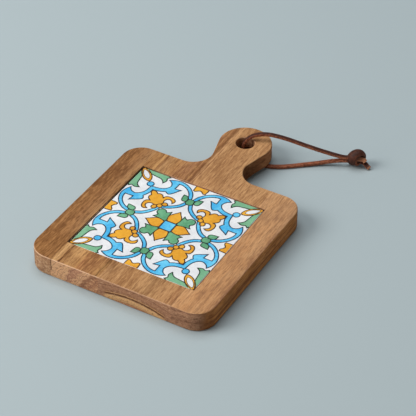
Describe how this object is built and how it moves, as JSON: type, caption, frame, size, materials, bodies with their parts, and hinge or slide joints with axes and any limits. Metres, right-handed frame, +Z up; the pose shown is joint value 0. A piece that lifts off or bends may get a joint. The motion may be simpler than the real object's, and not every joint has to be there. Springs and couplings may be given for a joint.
{
  "type": "tiled coaster board",
  "caption": "Small handled wooden board with an inlaid glazed ceramic tile, used as a coaster or trivet, with a knotted leather lace for hanging.",
  "frame": {"origin": "on the table under the middle of the board's whole length, handle included", "axes": "+X across the board, +Y from the square board towards the handle, +Z up"},
  "size_m": [0.1546, 0.2225, 0.0223],
  "materials": {
    "wood_left": "oiled satin",
    "wood_streaked": "oiled satin",
    "wood_handle": "oiled satin",
    "wood_right": "oiled satin",
    "adhesive": "cured adhesive",
    "clay": "fired clay",
    "glaze": "glossy glaze",
    "lace_leather": "waxed"
  },
  "bodies": {
    "board": {"left_stave": "wood_left", "streaked_stave": "wood_streaked", "handle_stave": "wood_handle", "right_stave": "wood_right", "adhesive_bed": "adhesive", "tile_clay": "clay", "tile_glaze": "glaze"},
    "lace": {"lace_upper_strand": "lace_leather", "lace_lower_strand": "lace_leather", "lace_knot": "lace_leather", "lace_short_tail": "lace_leather", "lace_long_tail": "lace_leather"}
  },
  "joints": [
    {"name": "lace_swing", "type": "hinge", "parent": "board", "child": "lace", "pos_m": [0, 0.0805, 0], "axis": [0, 0, 1], "range_deg": [-30, 160]}
  ]
}
